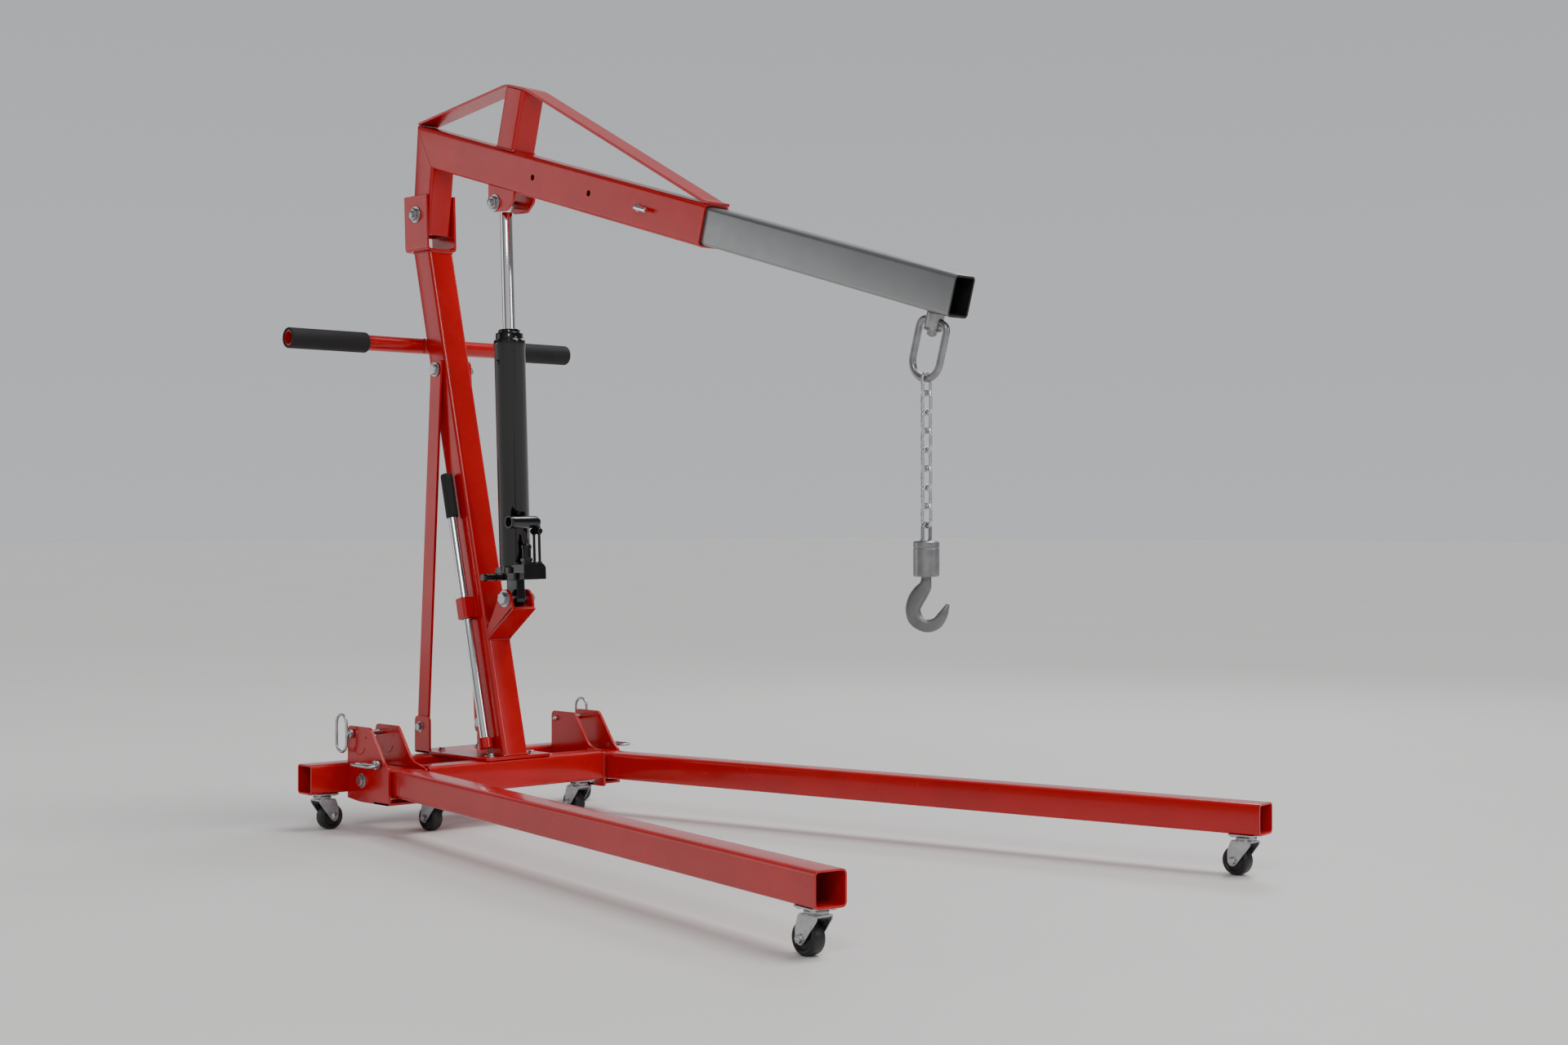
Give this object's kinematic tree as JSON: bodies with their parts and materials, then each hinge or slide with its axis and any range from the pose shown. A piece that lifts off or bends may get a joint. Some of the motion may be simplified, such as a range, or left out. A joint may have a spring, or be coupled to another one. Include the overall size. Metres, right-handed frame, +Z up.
{
  "type": "folding engine hoist crane",
  "caption": "Folding shop crane for lifting engines: wheeled base with fold-up legs, braced mast, hydraulic ram, telescopic boom, chain and swivel hook.",
  "frame": {"origin": "middle of the footprint box on the floor", "axes": "+X forward along the boom and the legs, +Y to the left of the crane, +Z up"},
  "size_m": [1.758, 1.087, 1.4709],
  "materials": {
    "red_paint": "glossy red powder coat",
    "charcoal_paint": "semi-gloss charcoal paint",
    "black_paint": "glossy black paint",
    "cast_grey": "satin grey paint over a forging",
    "zinc": "zinc plated",
    "chain_zinc": "bright zinc plated",
    "satin_steel": "satin machined steel",
    "chrome": "hard chrome",
    "grip_rubber": "closed-cell foam",
    "wheel_rubber": "hard black wheel"
  },
  "bodies": {
    "base": {"rear_cross_beam": "red_paint", "front_cross_beam": "red_paint", "base_plate": "red_paint", "mast": "red_paint", "mast_head_bracket": "red_paint", "ram_bracket": "red_paint", "push_handle_bar": "red_paint", "handle_grip_right": "grip_rubber", "handle_grip_left": "grip_rubber", "lever_clip": "red_paint", "boom_pivot_bolt": "zinc", "brace_top_bolt": "zinc", "ram_lower_bolt": "zinc", "brace_right": "red_paint", "brace_left": "red_paint", "leg_bracket_right": "red_paint", "leg_bracket_left": "red_paint", "leg_pivot_bolt_right": "zinc", "leg_pivot_bolt_left": "zinc"},
    "leg_right": {"leg_right": "red_paint"},
    "leg_lock_pin_right": {"leg_lock_pin_right": "zinc"},
    "leg_stow_pin_right": {"leg_stow_pin_right": "zinc"},
    "leg_left": {"leg_left": "red_paint"},
    "leg_lock_pin_left": {"leg_lock_pin_left": "zinc"},
    "leg_stow_pin_left": {"leg_stow_pin_left": "zinc"},
    "caster_fork_rear_right": {"caster_fork_rear_right": "zinc"},
    "caster_wheel_rear_right": {"caster_wheel_rear_right": "wheel_rubber"},
    "caster_fork_rear_left": {"caster_fork_rear_left": "zinc"},
    "caster_wheel_rear_left": {"caster_wheel_rear_left": "wheel_rubber"},
    "caster_fork_mid_right": {"caster_fork_mid_right": "zinc"},
    "caster_wheel_mid_right": {"caster_wheel_mid_right": "wheel_rubber"},
    "caster_fork_mid_left": {"caster_fork_mid_left": "zinc"},
    "caster_wheel_mid_left": {"caster_wheel_mid_left": "wheel_rubber"},
    "caster_fork_front_right": {"caster_fork_front_right": "zinc"},
    "caster_wheel_front_right": {"caster_wheel_front_right": "wheel_rubber"},
    "caster_fork_front_left": {"caster_fork_front_left": "zinc"},
    "caster_wheel_front_left": {"caster_wheel_front_left": "wheel_rubber"},
    "boom": {"boom_arm": "red_paint", "boom_tie_strap": "red_paint", "ram_upper_bolt": "zinc"},
    "extension": {"extension_arm": "charcoal_paint", "swivel_boss": "zinc"},
    "extension_pin": {"extension_pin": "zinc"},
    "bow_link": {"bow_link": "satin_steel"},
    "swivel_collar": {"swivel_collar": "satin_steel"},
    "hook": {"hook": "cast_grey"},
    "ram_cylinder": {"ram_cylinder": "black_paint"},
    "ram_rod": {"ram_rod": "chrome"},
    "pump_socket": {"pump_socket": "black_paint"},
    "release_valve": {"release_valve": "black_paint"},
    "lever": {"pump_lever": "chrome", "lever_grip": "grip_rubber"},
    "chain_link_1": {"chain_link_1": "chain_zinc"},
    "chain_link_2": {"chain_link_2": "chain_zinc"},
    "chain_link_3": {"chain_link_3": "chain_zinc"},
    "chain_link_4": {"chain_link_4": "chain_zinc"},
    "chain_link_5": {"chain_link_5": "chain_zinc"},
    "chain_link_6": {"chain_link_6": "chain_zinc"},
    "chain_link_7": {"chain_link_7": "chain_zinc"},
    "chain_link_8": {"chain_link_8": "chain_zinc"}
  },
  "joints": [
    {"name": "leg_fold_right", "type": "hinge", "parent": "base", "child": "leg_right", "pos_m": [-0.653, -0.25, 0.099], "axis": [0, -1, 0], "range_deg": [0, 90]},
    {"name": "leg_lock_pin_right_pull", "type": "slide", "parent": "base", "child": "leg_lock_pin_right", "axis": [0, -1, 0], "range_m": [0, 0.03]},
    {"name": "leg_stow_pin_right_pull", "type": "slide", "parent": "base", "child": "leg_stow_pin_right", "axis": [0, -1, 0], "range_m": [0, 0.09]},
    {"name": "leg_fold_left", "type": "hinge", "parent": "base", "child": "leg_left", "pos_m": [-0.653, 0.25, 0.099], "axis": [0, -1, 0], "range_deg": [0, 90]},
    {"name": "leg_lock_pin_left_pull", "type": "slide", "parent": "base", "child": "leg_lock_pin_left", "axis": [0, 1, 0], "range_m": [0, 0.03]},
    {"name": "leg_stow_pin_left_pull", "type": "slide", "parent": "base", "child": "leg_stow_pin_left", "axis": [0, 1, 0], "range_m": [0, 0.09]},
    {"name": "caster_swivel_rear_right", "type": "hinge", "parent": "base", "child": "caster_fork_rear_right", "pos_m": [-0.73, -0.326, 0.06], "axis": [0, 0, 1], "continuous": true},
    {"name": "caster_roll_rear_right", "type": "hinge", "parent": "caster_fork_rear_right", "child": "caster_wheel_rear_right", "pos_m": [-0.73148, -0.30906, 0.025], "axis": [-0.9962, -0.0872, 0], "continuous": true},
    {"name": "caster_swivel_rear_left", "type": "hinge", "parent": "base", "child": "caster_fork_rear_left", "pos_m": [-0.73, 0.326, 0.06], "axis": [0, 0, 1], "continuous": true},
    {"name": "caster_roll_rear_left", "type": "hinge", "parent": "caster_fork_rear_left", "child": "caster_wheel_rear_left", "pos_m": [-0.74674, 0.32895, 0.025], "axis": [-0.1736, -0.9848, 0], "continuous": true},
    {"name": "caster_swivel_mid_right", "type": "hinge", "parent": "base", "child": "caster_fork_mid_right", "pos_m": [-0.561, -0.176, 0.06], "axis": [0, 0, 1], "continuous": true},
    {"name": "caster_roll_mid_right", "type": "hinge", "parent": "caster_fork_mid_right", "child": "caster_wheel_mid_right", "pos_m": [-0.57798, -0.17689, 0.025], "axis": [0.0523, -0.9986, 0], "continuous": true},
    {"name": "caster_swivel_mid_left", "type": "hinge", "parent": "base", "child": "caster_fork_mid_left", "pos_m": [-0.561, 0.176, 0.06], "axis": [0, 0, 1], "continuous": true},
    {"name": "caster_roll_mid_left", "type": "hinge", "parent": "caster_fork_mid_left", "child": "caster_wheel_mid_left", "pos_m": [-0.57799, 0.17659, 0.025], "axis": [-0.0349, -0.9994, 0], "continuous": true},
    {"name": "caster_swivel_front_right", "type": "hinge", "parent": "leg_right", "child": "caster_fork_front_right", "pos_m": [0.839, -0.51, 0.06], "axis": [0, 0, 1], "continuous": true},
    {"name": "caster_roll_front_right", "type": "hinge", "parent": "caster_fork_front_right", "child": "caster_wheel_front_right", "pos_m": [0.82202, -0.50911, 0.025], "axis": [-0.0523, -0.9986, 0], "continuous": true},
    {"name": "caster_swivel_front_left", "type": "hinge", "parent": "leg_left", "child": "caster_fork_front_left", "pos_m": [0.839, 0.51, 0.06], "axis": [0, 0, 1], "continuous": true},
    {"name": "caster_roll_front_left", "type": "hinge", "parent": "caster_fork_front_left", "child": "caster_wheel_front_left", "pos_m": [0.82201, 0.50941, 0.025], "axis": [0.0349, -0.9994, 0], "continuous": true},
    {"name": "boom_lift", "type": "hinge", "parent": "base", "child": "boom", "pos_m": [-0.837, 0, 1.24], "axis": [0, -1, 0], "range_deg": [-18, 30]},
    {"name": "extension_slide", "type": "slide", "parent": "boom", "child": "extension", "axis": [0.9616, 0, -0.2743], "range_m": [-0.336, 0]},
    {"name": "extension_pin_pull", "type": "slide", "parent": "boom", "child": "extension_pin", "axis": [0, -1, 0], "range_m": [0, 0.05]},
    {"name": "bow_link_swing", "type": "hinge", "parent": "extension", "child": "bow_link", "pos_m": [0.59064, 0, 0.927], "axis": [0.9616, 0, -0.2743], "range_deg": [-30, 30]},
    {"name": "chain_link_1_swing", "type": "hinge", "parent": "bow_link", "child": "chain_link_1", "pos_m": [0.57267, 0, 0.83351], "axis": [1, 0, 0], "range_deg": [-20, 20]},
    {"name": "chain_link_2_swing", "type": "hinge", "parent": "chain_link_1", "child": "chain_link_2", "pos_m": [0.57267, 0, 0.80696], "axis": [0, 1, 0], "range_deg": [-20, 20]},
    {"name": "chain_link_3_swing", "type": "hinge", "parent": "chain_link_2", "child": "chain_link_3", "pos_m": [0.57267, 0, 0.77636], "axis": [1, 0, 0], "range_deg": [-20, 20]},
    {"name": "chain_link_4_swing", "type": "hinge", "parent": "chain_link_3", "child": "chain_link_4", "pos_m": [0.57267, 0, 0.74576], "axis": [0, 1, 0], "range_deg": [-20, 20]},
    {"name": "chain_link_5_swing", "type": "hinge", "parent": "chain_link_4", "child": "chain_link_5", "pos_m": [0.57267, 0, 0.71516], "axis": [1, 0, 0], "range_deg": [-20, 20]},
    {"name": "chain_link_6_swing", "type": "hinge", "parent": "chain_link_5", "child": "chain_link_6", "pos_m": [0.57267, 0, 0.68456], "axis": [0, 1, 0], "range_deg": [-20, 20]},
    {"name": "chain_link_7_swing", "type": "hinge", "parent": "chain_link_6", "child": "chain_link_7", "pos_m": [0.57267, 0, 0.65396], "axis": [1, 0, 0], "range_deg": [-20, 20]},
    {"name": "chain_link_8_swing", "type": "hinge", "parent": "chain_link_7", "child": "chain_link_8", "pos_m": [0.57267, 0, 0.62336], "axis": [0, 1, 0], "range_deg": [-20, 20]},
    {"name": "swivel_collar_swing", "type": "hinge", "parent": "chain_link_8", "child": "swivel_collar", "pos_m": [0.57267, 0, 0.59276], "axis": [1, 0, 0], "range_deg": [-20, 20]},
    {"name": "hook_swivel", "type": "hinge", "parent": "swivel_collar", "child": "hook", "pos_m": [0.57267, 0, 0.51191], "axis": [0, 0, 1], "continuous": true},
    {"name": "ram_tilt", "type": "hinge", "parent": "base", "child": "ram_cylinder", "pos_m": [-0.539, 0, 0.449], "axis": [0, -1, 0], "range_deg": [-0.5, 0.7]},
    {"name": "rod_slide", "type": "slide", "parent": "ram_cylinder", "child": "ram_rod", "axis": [-0.0431, 0, 0.9991], "range_m": [-0.09, 0.14]},
    {"name": "pump_socket_rock", "type": "hinge", "parent": "ram_cylinder", "child": "pump_socket", "pos_m": [-0.49873, 0.02, 0.58286], "axis": [-0.9991, 0, -0.0431], "range_deg": [-5, 40]},
    {"name": "release_valve_turn", "type": "hinge", "parent": "ram_cylinder", "child": "release_valve", "pos_m": [-0.56683, -0.045, 0.49084], "axis": [0, 1, 0], "range_deg": [0, 180]},
    {"name": "lever_pull", "type": "slide", "parent": "base", "child": "lever", "axis": [-0.2453, 0, 0.9694], "range_m": [0, 0.06]}
  ],
  "couplings": [
    {"joint": "ram_tilt", "follows": "boom_lift", "ratio": 0.012},
    {"joint": "rod_slide", "follows": "boom_lift", "m_per_rad": 0.2563}
  ]
}
